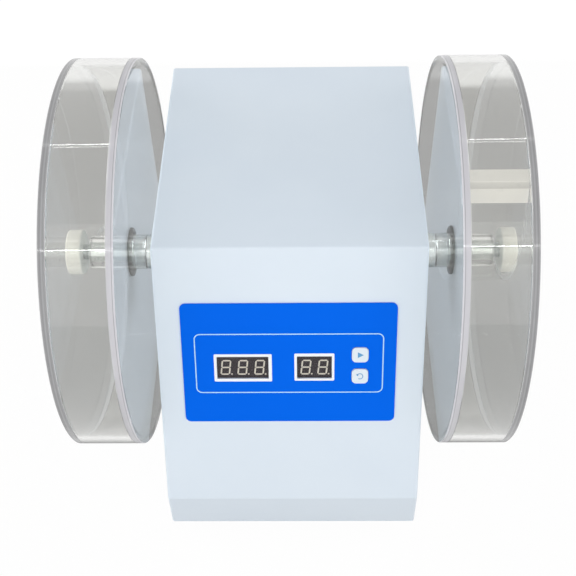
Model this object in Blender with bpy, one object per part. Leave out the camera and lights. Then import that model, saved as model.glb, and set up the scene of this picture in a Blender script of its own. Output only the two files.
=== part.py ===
"""Tablet friability tester: two clear drums on one shaft, turned by a geared motor in a steel housing.

Metres, +Z up. X runs along the drum shaft and -Y is the front. The origin is on the floor, in the
middle of the whole.
"""

import math

import bmesh
import bpy
from mathutils import Matrix, Vector

# Gaps and cutting
seat_gap = 0.0003
running_gap = 0.0004
cut_overrun = 0.003
weld_distance = 0.000002

# Housing
housing_width = 0.196
housing_height = 0.2305
lip_height = 0.036
top_depth = 0.2069
slope_run = 0.0866
sheet = 0.0015
fold_radius = 0.002
flange_width = 0.012
rear_recess = 0.008
base_thickness = 0.003
foot_height = 0.008

# Shaft line
shaft_height = 0.1686
front_reach = 0.1422
core_radius = 0.010
bearing_seat_radius = 0.0085
shaft_radius = 0.0075
stud_radius = 0.006
stud_chamfer = 0.001

# Drums
ring_inner_diameter = 0.286
ring_wall = 0.005
drum_depth = 0.039
back_plate_thickness = 0.005
lid_thickness = 0.005
drum_standoff = 0.0135
hub_diameter = 0.025
baffle_inner_radius = 0.080
baffle_thickness = 0.004
nut_length = 0.012
nut_diameter = 0.035
nut_cap = 0.0025

# Smoothness of round forms
drum_steps = 60
round_steps = 24
small_steps = 12
fillet_steps = 3

# Places that follow from the sizes above
half_width = housing_width / 2
wall_inner = half_width - sheet
housing_depth = top_depth + slope_run
rear_reach = housing_depth - front_reach
ring_inner_radius = ring_inner_diameter / 2
drum_radius = ring_inner_radius + ring_wall
shaft_y = (max(drum_radius, front_reach) - max(drum_radius, rear_reach)) / 2
shaft_z = foot_height + shaft_height
front_y = shaft_y - front_reach
rear_y = front_y + housing_depth
brow_y = front_y + slope_run
top_z = foot_height + housing_height
base_top = foot_height + base_thickness
floor_inside = base_top + seat_gap
back_plate_in = half_width + drum_standoff
back_plate_out = back_plate_in + back_plate_thickness
lid_in = back_plate_out + drum_depth
lid_out = lid_in + lid_thickness
nut_out = lid_out + nut_length
stud_end = nut_out - nut_cap - seat_gap

slope_drop = housing_height - lip_height
slope_angle = math.atan2(slope_drop, slope_run)
SIDES = {"left": -1, "right": 1}


def clear_scene():
    for item in list(bpy.data.objects):
        bpy.data.objects.remove(item, do_unlink=True)


def linear(level):
    """One channel of a screen colour, as a share of the light."""
    return level / 12.92 if level <= 0.04045 else ((level + 0.055) / 1.055) ** 2.4


def material(name, colour, roughness, metallic=0.0, alpha=1.0):
    """A plain finish; colour is 0 to 255 as seen on a screen."""
    finish = bpy.data.materials.get(name) or bpy.data.materials.new(name)
    finish.use_nodes = True
    shader = finish.node_tree.nodes["Principled BSDF"]
    red, green, blue = (linear(channel / 255) for channel in colour)
    shader.inputs["Base Color"].default_value = (red, green, blue, 1.0)
    shader.inputs["Roughness"].default_value = roughness
    shader.inputs["Metallic"].default_value = metallic
    shader.inputs["Alpha"].default_value = alpha
    finish.diffuse_color = (red, green, blue, alpha)
    return finish


def painted_steel():
    return material("painted_steel", (214, 225, 236), 0.35)


def bright_steel():
    return material("bright_steel", (200, 202, 205), 0.3, 1.0)


def zinc_steel():
    return material("zinc_steel", (178, 182, 184), 0.4, 0.9)


def clear_acrylic():
    return material("clear_acrylic", (226, 228, 230), 0.05, 0.0, 0.35)


def cream_nylon():
    return material("cream_nylon", (236, 233, 219), 0.45)


def black_plastic():
    return material("black_plastic", (30, 31, 33), 0.5)


def dark_rubber():
    return material("dark_rubber", (58, 58, 61), 0.75)


def circuit_board():
    return material("circuit_board", (28, 92, 58), 0.45)


def empty(name, location, rotation=(0, 0, 0)):
    """A place that pieces hang on: a joint's axis or the sloping front."""
    marker = bpy.data.objects.new(name, None)
    marker.location = location
    marker.rotation_euler = rotation
    bpy.context.collection.objects.link(marker)
    return marker


def piece(name, shape, finish=None, parent=None, location=(0, 0, 0), rotation=(0, 0, 0)):
    """Makes a named object of a shape."""
    bmesh.ops.recalc_face_normals(shape, faces=shape.faces)
    mesh = bpy.data.meshes.new(name)
    shape.to_mesh(mesh)
    shape.free()
    mesh.shade_smooth()
    mesh.set_sharp_from_angle(angle=math.radians(35))
    made = bpy.data.objects.new(name, mesh)
    if finish:
        mesh.materials.append(finish)
    made.parent = parent
    made.location = location
    made.rotation_euler = rotation
    bpy.context.collection.objects.link(made)
    return made


def helper(name, shape, parent=None, location=(0, 0, 0), rotation=(0, 0, 0)):
    """A shape that only cuts or joins another, and isn't a piece itself."""
    made = piece(name, shape, None, parent, location, rotation)
    made.hide_render = True
    made.display_type = "WIRE"
    return made


def combine(target, operation, *others):
    """Cuts shapes out of a piece, or joins them to it."""
    for other in others:
        step = target.modifiers.new(operation.lower(), "BOOLEAN")
        step.operation = operation
        step.solver = "EXACT"
        step.object = other
    return target


def cut(target, *others):
    return combine(target, "DIFFERENCE", *others)


def join(target, *others):
    return combine(target, "UNION", *others)


def prism(outline, low, high, along="X"):
    """Extrudes an outline. Along X it lies in YZ, along Y in XZ and along Z in XY."""
    place = {
        "X": lambda u, v, w: (w, u, v),
        "Y": lambda u, v, w: (u, w, v),
        "Z": lambda u, v, w: (u, v, w),
    }[along]
    shape = bmesh.new()
    verts = [shape.verts.new(place(u, v, low)) for u, v in outline]
    face = shape.faces.new(verts)
    lifted = bmesh.ops.extrude_face_region(shape, geom=[face])["geom"]
    move = Vector(place(0, 0, high - low))
    bmesh.ops.translate(shape, vec=move, verts=[v for v in lifted if isinstance(v, bmesh.types.BMVert)])
    return shape


def rectangle(width, height, u=0, v=0):
    left, right = u - width / 2, u + width / 2
    low, high = v - height / 2, v + height / 2
    return [(left, low), (right, low), (right, high), (left, high)]


def block(low, high):
    """A box between two corners."""
    outline = [(low[0], low[1]), (high[0], low[1]), (high[0], high[1]), (low[0], high[1])]
    return prism(outline, low[2], high[2], "Z")


def merged(shapes):
    """Several closed shapes in one mesh, for a helper that cuts or joins many at once."""
    whole = bmesh.new()
    for shape in shapes:
        part = bpy.data.meshes.new("part")
        shape.to_mesh(part)
        shape.free()
        whole.from_mesh(part)
        bpy.data.meshes.remove(part)
    return whole


def rounded(points, radii, steps=fillet_steps):
    """Rounds the corners of an outline, each with its own radius; zero leaves a corner sharp."""
    outline = []
    count = len(points)
    for index, (point, radius) in enumerate(zip(points, radii)):
        corner = Vector(point)
        if not radius:
            outline.append(tuple(corner))
            continue
        before = (Vector(points[index - 1]) - corner).normalized()
        after = (Vector(points[(index + 1) % count]) - corner).normalized()
        half = before.angle(after) / 2
        reach = radius / math.tan(half)
        centre = corner + (before + after).normalized() * (radius / math.sin(half))
        start = corner + before * reach - centre
        end = corner + after * reach - centre
        for step in range(steps + 1):
            share = step / steps
            arm = start.lerp(end, share)
            outline.append(tuple(centre + arm.normalized() * radius))
    return outline


def rounded_rectangle(width, height, radius, u=0, v=0, steps=fillet_steps):
    return rounded(rectangle(width, height, u, v), [radius] * 4, steps)


def circle(radius, steps, u=0, v=0):
    turns = [2 * math.pi * step / steps for step in range(steps)]
    return [(u + radius * math.cos(turn), v + radius * math.sin(turn)) for turn in turns]


def turned(profile, steps=round_steps, along="X"):
    """Spins a profile of (place, radius) points; one that leaves the axis closes on itself."""
    axis, arm = {
        "X": (Vector((1, 0, 0)), Vector((0, 1, 0))),
        "Y": (Vector((0, 1, 0)), Vector((0, 0, 1))),
        "Z": (Vector((0, 0, 1)), Vector((1, 0, 0))),
    }[along]
    shape = bmesh.new()
    verts = [shape.verts.new(axis * place + arm * radius) for place, radius in profile]
    edges = [shape.edges.new(pair) for pair in zip(verts, verts[1:])]
    if profile[0][1] > 0:
        edges.append(shape.edges.new((verts[-1], verts[0])))
    bmesh.ops.spin(shape, geom=verts + edges, cent=(0, 0, 0), axis=axis,
                   angle=2 * math.pi, steps=steps, use_merge=True)
    bmesh.ops.remove_doubles(shape, verts=shape.verts, dist=weld_distance)
    return shape


def rod(low, high, radius, steps=round_steps, along="X"):
    return turned([(low, 0), (low, radius), (high, radius), (high, 0)], steps, along)


def one_side(profile, sign):
    """A profile of one side, from places along the shaft measured from the middle."""
    return [(sign * place, radius) for place, radius in profile]


# The folded and welded steel shell: top, sloping front, upright lip and two sides.
# It is open below and behind, where folded flanges take the base plate and the rear panel.

def housing_outline(inset):
    """The side view of the housing, moved in by a distance all round."""
    lean = math.tan((math.pi / 2 - slope_angle) / 2)
    brow_lean = math.tan(slope_angle / 2)
    return [
        (front_y + inset, foot_height + inset),
        (front_y + inset, foot_height + lip_height - inset * lean),
        (brow_y + inset * brow_lean, top_z - inset),
        (rear_y - inset, top_z - inset),
        (rear_y - inset, foot_height + inset),
    ]


def housing_block():
    """The shell's outer form, with rounded folds."""
    radii = [0, fold_radius, fold_radius, 0, 0]
    outline = rounded(housing_outline(0), radii)
    shape = prism(outline, -half_width, half_width)
    bmesh.ops.recalc_face_normals(shape, faces=shape.faces)
    shape.edges.ensure_lookup_table()

    def is_side_fold(edge):
        first, second = (vert.co for vert in edge.verts)
        same_side = abs(first.x - second.x) < weld_distance
        along_floor = max(first.z, second.z) < foot_height + weld_distance
        along_rear = min(first.y, second.y) > rear_y - weld_distance
        return same_side and not along_floor and not along_rear

    folds = [edge for edge in shape.edges if is_side_fold(edge)]
    bmesh.ops.bevel(shape, geom=folds, offset=fold_radius, segments=3, profile=0.5, affect="EDGES")
    return shape


recess_top = foot_height + base_thickness + 2 * seat_gap
flange_top = recess_top + sheet
rear_panel_seat = rear_y - rear_recess
cavity_rear = rear_panel_seat - sheet


def housing_cavity():
    """The room inside, between the folded flanges and the walls."""
    outline = housing_outline(sheet)
    outline[0] = (outline[0][0], flange_top)
    outline[3] = (cavity_rear, outline[3][1])
    outline[4] = (cavity_rear, flange_top)
    return prism(outline, -wall_inner, wall_inner)


def below_flange():
    """The shallow recess that takes the base plate, and the opening inside its flange."""
    recess = block((-wall_inner, front_y + sheet, foot_height - cut_overrun),
                   (wall_inner, rear_y - sheet, recess_top))
    opening = block((-wall_inner + flange_width, front_y + sheet + flange_width, recess_top - sheet),
                    (wall_inner - flange_width, cavity_rear - flange_width, flange_top + sheet))
    return recess, opening


def behind_flange():
    """The recess that takes the rear panel, and the opening inside its flange."""
    recess = block((-wall_inner, rear_panel_seat, flange_top),
                   (wall_inner, rear_y + cut_overrun, top_z - sheet))
    opening = block((-wall_inner + flange_width, cavity_rear - sheet, flange_top + flange_width),
                    (wall_inner - flange_width, rear_panel_seat + sheet, top_z - sheet - flange_width))
    return recess, opening


# The control panel on the sloping front. Places on it are across from the housing's middle and
# down from the brow. Windows and keys are spread over the panel's width, each at its own share of it
# from the left, and their drops run from the panel's upper edge.
panel_width = 0.157
panel_height = 0.0985
panel_corner = 0.004
panel_thickness = 0.0008
panel_across = -0.0012
brow_to_panel = 0.0425

window_height = 0.0184
window_corner = 0.0006
window_drop = 0.0525
count_window_width = 0.0382
count_window_share = 0.282
speed_window_width = 0.0257
speed_window_share = 0.6185

key_size = 0.012
key_corner = 0.003
key_thickness = 0.0011
key_travel = 0.0005
key_share = 0.832
start_key_drop = 0.0418
reset_key_drop = 0.0595
key_stem_radius = 0.0018
key_hole_radius = 0.004

panel_down = brow_to_panel + panel_height / 2
panel_left = panel_across - panel_width / 2
window_down = brow_to_panel + window_drop
key_across = panel_left + key_share * panel_width

module_inset = 0.0004
module_height = 0.008
board_margin = 0.0095
board_height = 0.052
board_thickness = 0.0016
board_stud_radius = 0.003
board_stud_inset = 0.005
switch_size = 0.006
switch_height = 0.005
switch_well_depth = 0.002

board_width = panel_width - 2 * board_margin

# Heights above the slope's outer face
panel_low = seat_gap
panel_high = panel_low + panel_thickness
key_low = key_travel + seat_gap
module_face = 0
board_top = module_face - module_height - seat_gap
switch_low = board_top + seat_gap
switch_high = switch_low + switch_height
stem_end = switch_high - switch_well_depth + key_travel + seat_gap

WINDOWS = {
    "count": (count_window_width, panel_left + count_window_share * panel_width),
    "speed": (speed_window_width, panel_left + speed_window_share * panel_width),
}
KEYS = {"start": brow_to_panel + start_key_drop, "reset": brow_to_panel + reset_key_drop}


def slope_place(across, down, out=0):
    """A place on the slope, for a piece that hangs on the slope's empty."""
    return (across, -down, out)


def slope_openings(slope):
    """Cuts through the sheet behind the windows and the keys."""
    cutters = []
    low = -sheet - cut_overrun
    for name, (width, across) in WINDOWS.items():
        clear = rounded_rectangle(width - 2 * module_inset + 2 * seat_gap,
                                  window_height - 2 * module_inset + 2 * seat_gap, window_corner)
        shape = prism(clear, low, cut_overrun, "Z")
        cutters.append(helper(f"{name}_opening", shape, slope, slope_place(across, window_down)))
    for name, down in KEYS.items():
        shape = rod(low, cut_overrun, key_hole_radius, small_steps, "Z")
        cutters.append(helper(f"{name}_opening", shape, slope, slope_place(key_across, down)))
    return cutters


def board_stud_places():
    """Four places near the front board's corners."""
    reach_u = board_width / 2 - board_stud_inset
    reach_v = board_height / 2 - board_stud_inset
    return [(panel_across + u * reach_u, window_down + v * reach_v) for u in (-1, 1) for v in (-1, 1)]


def board_studs(slope):
    """Welded studs behind the slope that carry the front board."""
    studs = []
    for index, (across, down) in enumerate(board_stud_places()):
        shape = rod(board_top + seat_gap, -sheet / 2, board_stud_radius, small_steps, "Z")
        studs.append(helper(f"board_stud_{index}", shape, slope, slope_place(across, down)))
    return studs


seal_neck_radius = 0.0165
seal_flange_radius = 0.019
seal_flange = 0.002
seal_depth = 0.004
collar_radius = 0.0135


def housing_shell(slope):
    shell = piece("housing_shell", housing_block(), painted_steel())
    cut(shell, helper("housing_cavity", housing_cavity()))
    for index, shape in enumerate((*below_flange(), *behind_flange())):
        cut(shell, helper(f"housing_opening_{index}", shape))
    bore = rod(-half_width - cut_overrun, half_width + cut_overrun, seal_neck_radius + seat_gap)
    cut(shell, helper("shaft_opening", bore, None, (0, shaft_y, shaft_z)))
    join(shell, *board_studs(slope))
    cut(shell, *slope_openings(slope))
    return shell


# The steel base plate lies inside the shell's lower edge and carries the feet and the mechanism.
stud_height = 0.009
control_board_width = 0.078
control_board_depth = 0.070
control_board_x = 0.034
control_board_y = 0.092
control_stud_inset = 0.005
control_stud_radius = 0.003


def control_stud_places():
    reach_x = control_board_width / 2 - control_stud_inset
    reach_y = control_board_depth / 2 - control_stud_inset
    return [(control_board_x + x, control_board_y + y)
            for x in (-reach_x, reach_x) for y in (-reach_y, reach_y)]


def base_plate():
    side = wall_inner - seat_gap
    shape = block((-side, front_y + sheet + seat_gap, foot_height),
                  (side, rear_y - sheet - seat_gap, base_top))
    plate = piece("base_plate", shape, zinc_steel())
    for index, (x, y) in enumerate(control_stud_places()):
        stud = rod(base_top - base_thickness / 2, base_top + stud_height, control_stud_radius,
                   small_steps, "Z")
        join(plate, helper(f"control_stud_{index}", stud, None, (x, y, 0)))
    return plate


foot_radius = 0.010
foot_chamfer = 0.0015
foot_inset = 0.022
foot_steps = 18


def feet():
    """Four turned rubber feet under the base plate."""
    places = {"front": front_y + foot_inset, "rear": rear_y - foot_inset}
    top = foot_height - seat_gap
    profile = [(0, 0), (0, foot_radius - 2 * foot_chamfer), (foot_chamfer, foot_radius - foot_chamfer),
               (top - foot_chamfer, foot_radius), (top, foot_radius - foot_chamfer), (top, 0)]
    for side, sign in SIDES.items():
        for end, y in places.items():
            x = sign * (half_width - foot_inset)
            piece(f"foot_{end}_{side}", turned(profile, foot_steps, "Z"), dark_rubber(), None, (x, y, 0))


# The rear panel closes the back, with vent slots and the openings for switch and mains inlet.
vent_count = 8
vent_pitch = 0.009
vent_length = 0.090
vent_height = 0.003
vent_corner = 0.0014
vent_top_margin = 0.034

inlet_margin = 0.053
inlet_rise = 0.050
inlet_body_width = 0.028
inlet_wall = 0.002
inlet_recess_width = 0.0240
inlet_recess_height = 0.0166
inlet_recess_corner = 0.0045
inlet_recess_depth = 0.0185
inlet_depth = 0.027
inlet_flange_width = 0.050
inlet_flange_margin = 0.0035
inlet_flange_thickness = 0.0025
pin_length = 0.012
pin_width = 0.002
pin_height = 0.004
pin_pitch = 0.007
earth_pin_drop = 0.002

drawer_width = 0.0216
drawer_height = 0.006
drawer_length = 0.018
drawer_lip = 0.0014
drawer_lip_margin = 0.001

switch_pitch = 0.049
rocker_width = 0.0104
rocker_half_length = 0.0075
rocker_corner_height = 0.0055
rocker_middle_height = 0.0042
rocker_root_radius = 0.006
rocker_tilt = math.radians(10)
rocker_pivot_depth = 0.0035
switch_wall = 0.0009
bezel_overlap = 0.0018
bezel_corner = 0.0009
bezel_thickness = 0.002
switch_depth = 0.018

inlet_x = half_width - inlet_margin
switch_x = inlet_x - switch_pitch
panel_outer = rear_panel_seat + seat_gap + sheet
panel_low_z = flange_top + seat_gap
panel_high_z = top_z - sheet - seat_gap
drawer_slot_width = drawer_width + 2 * running_gap
drawer_slot_height = drawer_height + 2 * running_gap
inlet_body_height = 3 * inlet_wall + inlet_recess_height + drawer_slot_height
inlet_z = panel_low_z + inlet_rise
inlet_face = seat_gap + inlet_flange_thickness
recess_up = inlet_body_height / 2 - inlet_wall - inlet_recess_height / 2
slot_up = -inlet_body_height / 2 + inlet_wall + drawer_slot_height / 2
rocker_well_width = rocker_width + 2 * seat_gap
rocker_swing = math.hypot(rocker_half_length, rocker_corner_height)
rocker_well_half = rocker_swing * math.cos(
    math.atan2(rocker_corner_height, rocker_half_length) - rocker_tilt) + seat_gap
switch_body_width = rocker_well_width + 2 * switch_wall
switch_body_height = 2 * (rocker_well_half + switch_wall)


def rear_panel():
    side = wall_inner - seat_gap
    shape = block((-side, panel_outer - sheet, panel_low_z), (side, panel_outer, panel_high_z))
    panel = piece("rear_panel", shape, painted_steel())
    low, high = panel_outer - sheet - cut_overrun, panel_outer + cut_overrun
    vents = []
    for index in range(vent_count):
        z = panel_high_z - vent_top_margin - index * vent_pitch
        vent = rounded_rectangle(vent_length, vent_height, vent_corner, 0, z, 2)
        vents.append(prism(vent, low, high, "Y"))
    cut(panel, helper("vents", merged(vents)))
    inlet = rectangle(inlet_body_width + 2 * seat_gap, inlet_body_height + 2 * seat_gap, inlet_x, inlet_z)
    cut(panel, helper("inlet_opening", prism(inlet, low, high, "Y")))
    switch = rectangle(switch_body_width + 2 * seat_gap, switch_body_height + 2 * seat_gap,
                       switch_x, inlet_z)
    cut(panel, helper("switch_opening", prism(switch, low, high, "Y")))
    return panel


def mains_inlet(place):
    """Appliance inlet with three recessed pins, and a slot below them for the fuse drawer."""
    body = prism(rectangle(inlet_body_width, inlet_body_height), inlet_face - inlet_depth,
                 inlet_face - inlet_flange_thickness / 2, "Y")
    flange_height = inlet_body_height + 2 * inlet_flange_margin
    flange = prism(rounded_rectangle(inlet_flange_width, flange_height, inlet_flange_margin),
                   seat_gap, inlet_face, "Y")
    inlet = piece("mains_inlet", flange, black_plastic(), place)
    join(inlet, helper("inlet_body", body, place))
    corners = rectangle(inlet_recess_width, inlet_recess_height, 0, recess_up)
    floor = inlet_face - inlet_recess_depth
    radii = [0, 0, inlet_recess_corner, inlet_recess_corner]
    recess = prism(rounded(corners, radii, 1), floor, inlet_face + cut_overrun, "Y")
    slot = prism(rectangle(drawer_slot_width, drawer_slot_height, 0, slot_up),
                 inlet_face - drawer_length - running_gap, inlet_face + cut_overrun, "Y")
    cut(inlet, helper("inlet_recess", recess, place), helper("drawer_slot", slot, place))
    pins = []
    for across, drop in ((-pin_pitch, 0), (0, earth_pin_drop), (pin_pitch, 0)):
        outline = rectangle(pin_width, pin_height, across, recess_up - drop)
        pins.append(prism(outline, floor - inlet_wall / 2, floor + pin_length, "Y"))
    join(inlet, helper("inlet_pins", merged(pins), place))
    return inlet


def fuse_drawer(place):
    """The drawer slides straight out; its face has a lip that a fingernail catches."""
    face = inlet_face + seat_gap
    drawer = prism(rectangle(drawer_width, drawer_height), inlet_face - drawer_length,
                   face + drawer_lip / 2, "Y")
    lip = prism(rectangle(drawer_width + 2 * drawer_lip_margin, drawer_height + 2 * drawer_lip_margin),
                face, face + drawer_lip, "Y")
    made = piece("fuse_drawer", lip, black_plastic(), place, (0, 0, slot_up))
    join(made, helper("drawer_body", drawer, place, (0, 0, slot_up)))
    return made


def rocker_frame(place):
    """The switch's case, with a well for the rocker."""
    bezel = rounded_rectangle(switch_body_width + 2 * bezel_overlap,
                              switch_body_height + 2 * bezel_overlap, bezel_corner)
    frame = piece("rocker_frame", prism(bezel, seat_gap, seat_gap + bezel_thickness, "Y"),
                  black_plastic(), place)
    body = prism(rectangle(switch_body_width, switch_body_height), -switch_depth,
                 seat_gap + bezel_thickness / 2, "Y")
    join(frame, helper("switch_body", body, place))
    well_depth = rocker_pivot_depth + rocker_root_radius + running_gap
    top = seat_gap + bezel_thickness
    well = prism(rectangle(rocker_well_width, 2 * rocker_well_half), top - well_depth,
                 top + cut_overrun, "Y")
    cut(frame, helper("rocker_well", well, place))
    return frame


def power_rocker(place):
    """A shallow V seen from the side, on a round root about its pivot; it rests tipped to off."""
    root = [(rocker_root_radius * math.cos(turn), -rocker_root_radius * math.sin(turn))
            for turn in (math.pi * step / small_steps for step in range(small_steps + 1))]
    outline = [(rocker_half_length, rocker_corner_height), *root,
               (-rocker_half_length, rocker_corner_height), (0, rocker_middle_height)]
    shape = prism([(out, up) for up, out in outline], -rocker_width / 2, rocker_width / 2)
    return piece("power_rocker", shape, black_plastic(), place, (0, 0, 0), (rocker_tilt, 0, 0))


# The film panel, its window panes, the keys and the electronics behind them.

def membrane_panel(slope):
    outline = rounded_rectangle(panel_width, panel_height, panel_corner)
    place = slope_place(panel_across, panel_down)
    panel = piece("membrane_panel", prism(outline, panel_low, panel_high, "Z"),
                  material("blue_film", (0, 98, 226), 0.4), slope, place)
    holes = []
    for width, across in WINDOWS.values():
        holes.append((across, window_down, width, window_height, window_corner))
    for down in KEYS.values():
        holes.append((key_across, down, key_size, key_size, key_corner))
    for index, (across, down, width, height, corner) in enumerate(holes):
        hole = rounded_rectangle(width + 2 * seat_gap, height + 2 * seat_gap, corner + seat_gap)
        cutter = prism(hole, panel_low - cut_overrun, panel_high + cut_overrun, "Z")
        cut(panel, helper(f"panel_opening_{index}", cutter, slope, slope_place(across, down)))
    return panel


def window_panes(slope):
    for name, (width, across) in WINDOWS.items():
        outline = rounded_rectangle(width, window_height, window_corner)
        piece(f"{name}_window", prism(outline, panel_low, panel_high, "Z"),
              material("smoked_pane", (52, 46, 50), 0.15), slope, slope_place(across, window_down))


def display_modules(slope):
    """Seven-segment blocks that stand on the front board and look out through the windows."""
    for name, (width, across) in WINDOWS.items():
        outline = rectangle(width - 2 * module_inset, window_height - 2 * module_inset)
        shape = prism(outline, module_face - module_height, module_face, "Z")
        piece(f"{name}_digits", shape, black_plastic(), slope, slope_place(across, window_down))


def keys(slope):
    for name, down in KEYS.items():
        outline = rounded_rectangle(key_size, key_size, key_corner)
        cap = prism(outline, key_low, key_low + key_thickness, "Z")
        key = piece(f"{name}_key", cap, material("key_white", (226, 234, 243), 0.4),
                    slope, slope_place(key_across, down))
        stem = rod(stem_end, key_low + key_thickness / 2, key_stem_radius, small_steps, "Z")
        join(key, helper(f"{name}_stem", stem, slope, slope_place(key_across, down)))


def key_switches(slope):
    """Each key's stem runs in the open well of a switch on the front board."""
    for name, down in KEYS.items():
        case = prism(rectangle(switch_size, switch_size), switch_low, switch_high, "Z")
        switch = piece(f"{name}_switch", case, black_plastic(), slope, slope_place(key_across, down))
        well = rod(switch_high - switch_well_depth, switch_high + cut_overrun,
                   key_stem_radius + running_gap, small_steps, "Z")
        cut(switch, helper(f"{name}_well", well, slope, slope_place(key_across, down)))


def front_board(slope):
    outline = rectangle(board_width, board_height)
    shape = prism(outline, board_top - board_thickness, board_top, "Z")
    piece("front_board", shape, circuit_board(), slope, slope_place(panel_across, window_down))


# The shaft line: uprights on the base plate, ball bearings, the stepped shaft and its seals.
upright_inset = 0.0175
upright_thickness = 0.005
upright_foot_width = 0.090
upright_foot_reach = 0.030
upright_bend = 0.008
upright_head_radius = 0.034
bearing_radius = 0.0175
bearing_width = 0.010
bearing_ring = 0.0035
bearing_groove = 0.0008
bearing_steps = 18

upright_out = wall_inner - upright_inset
upright_in = upright_out - upright_thickness
upright_middle = (upright_in + upright_out) / 2


def folded_plate(toe, heel, height, thickness, bend):
    """Side view of a plate on its own folded foot, from the foot's toe to the plate's back."""
    front = heel + math.copysign(thickness, toe - heel)
    points = [(toe, 0), (heel, 0), (heel, height), (front, height), (front, thickness), (toe, thickness)]
    return rounded(points, [0, bend, 0, 0, bend - thickness, 0])


def upright_outline():
    """Front view of the upright: a foot, tapering up to a round head about the shaft."""
    height = shaft_z - floor_inside - upright_bend
    half_foot = upright_foot_width / 2
    slant = math.hypot(half_foot, height)
    start = math.acos(upright_head_radius / slant) - math.atan2(height, half_foot)
    sweep = math.pi - 2 * start
    turns = [start + sweep * step / round_steps for step in range(round_steps + 1)]
    head = [(upright_head_radius * math.cos(turn), upright_head_radius * math.sin(turn)) for turn in turns]
    below = floor_inside - cut_overrun - shaft_z
    return [(-half_foot, -height), (-half_foot, below), (half_foot, below), (half_foot, -height), *head]


def bearing_uprights():
    side_view_reach = upright_foot_width / 2 + cut_overrun
    for side, sign in SIDES.items():
        view = folded_plate(sign * (upright_out - upright_foot_reach), sign * upright_out,
                            shaft_z + upright_head_radius + cut_overrun - floor_inside,
                            upright_thickness, upright_bend)
        upright = piece(f"bearing_upright_{side}", prism(view, -side_view_reach, side_view_reach, "Y"),
                        zinc_steel(), None, (0, shaft_y, floor_inside))
        front = prism(upright_outline(), -half_width, half_width)
        combine(upright, "INTERSECT", helper(f"upright_front_{side}", front, None, (0, shaft_y, shaft_z)))
        low, high = sorted((sign * upright_in, sign * upright_out))
        bore = rod(low - cut_overrun, high + cut_overrun, bearing_radius + seat_gap)
        cut(upright, helper(f"upright_bore_{side}", bore, None, (0, shaft_y, shaft_z)))


def bearings():
    """Ball bearings, with the shields set back between their rings."""
    inner = bearing_seat_radius + seat_gap
    low, high = -bearing_width / 2, bearing_width / 2
    profile = [(low, inner), (low, inner + bearing_ring), (low + bearing_groove, inner + bearing_ring),
               (low + bearing_groove, bearing_radius - bearing_ring), (low, bearing_radius - bearing_ring),
               (low, bearing_radius), (high, bearing_radius), (high, bearing_radius - bearing_ring),
               (high - bearing_groove, bearing_radius - bearing_ring),
               (high - bearing_groove, inner + bearing_ring), (high, inner + bearing_ring), (high, inner)]
    for side, sign in SIDES.items():
        piece(f"bearing_{side}", turned(profile, bearing_steps), bright_steel(), None,
              (sign * upright_middle, shaft_y, shaft_z))


def shaft_seals():
    """Rubber rings snapped into the side walls, round the collars."""
    inner = collar_radius + running_gap
    low = half_width - seal_depth
    face = half_width + seat_gap
    profile = [(low, inner), (low, seal_neck_radius), (face, seal_neck_radius), (face, seal_flange_radius),
               (face + seal_flange, seal_flange_radius), (face + seal_flange, inner)]
    for side, sign in SIDES.items():
        piece(f"shaft_seal_{side}", turned(one_side(profile, sign)), dark_rubber(), None,
              (0, shaft_y, shaft_z))


def main_shaft(axis):
    """One turned shaft through housing and drums, with a threaded stud at each end."""
    shoulder = upright_middle - bearing_width / 2 - seat_gap
    seat_end = upright_middle + bearing_width / 2 + seat_gap
    half = [(shoulder, core_radius), (shoulder, bearing_seat_radius), (seat_end, bearing_seat_radius),
            (seat_end, shaft_radius), (lid_in - seat_gap, shaft_radius), (lid_in - seat_gap, stud_radius),
            (stud_end - stud_chamfer, stud_radius), (stud_end, stud_radius - stud_chamfer), (stud_end, 0)]
    other_half = [(-place, radius) for place, radius in reversed(half)]
    piece("main_shaft", turned(other_half + half), bright_steel(), axis)


# Gears and motor. The gear on the shaft meshes with the pinion straight below it.
tooth_module = 0.002
gear_teeth = 45
pinion_teeth = 18
pressure_angle = math.radians(20)
backlash = 0.0003
mesh_gap = 0.0001
face_width = 0.010
gear_from_upright = 0.034
gear_hub_radius = 0.017
gear_hub_length = 0.009
gear_hole_radius = 0.0075
gear_hole_count = 6
pinion_extra_width = 0.002
output_radius = 0.005
flank_shares = (0, 0.5, 1)
root_share = 1.25

gear_x = upright_in - gear_from_upright
centre_distance = tooth_module * (gear_teeth + pinion_teeth) / 2 + mesh_gap
pinion_z = shaft_z - centre_distance


def involute(angle):
    return math.tan(angle) - angle


def gear_outline(teeth, first_tooth):
    """Spur gear with involute flanks, thinned by the backlash, from root circle to tip circle."""
    pitch_radius = tooth_module * teeth / 2
    base_radius = pitch_radius * math.cos(pressure_angle)
    root_radius = pitch_radius - root_share * tooth_module
    tip_radius = pitch_radius + tooth_module
    half_tooth = (math.pi * tooth_module / 2 - backlash) / (2 * pitch_radius)
    low = max(base_radius, root_radius)

    def half_angle(radius):
        return half_tooth + involute(pressure_angle) - involute(math.acos(min(1, base_radius / radius)))

    flank = [(low + (tip_radius - low) * share) for share in flank_shares]
    flank = [(radius, half_angle(radius)) for radius in flank]
    if low > root_radius + weld_distance:
        flank.insert(0, (root_radius, flank[0][1]))
    outline = []
    for tooth in range(teeth):
        middle = first_tooth + 2 * math.pi * tooth / teeth
        rising = [(radius, middle - half) for radius, half in flank]
        falling = [(radius, middle + half) for radius, half in reversed(flank)]
        outline += [(radius * math.cos(turn), radius * math.sin(turn)) for radius, turn in rising + falling]
    return outline


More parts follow.
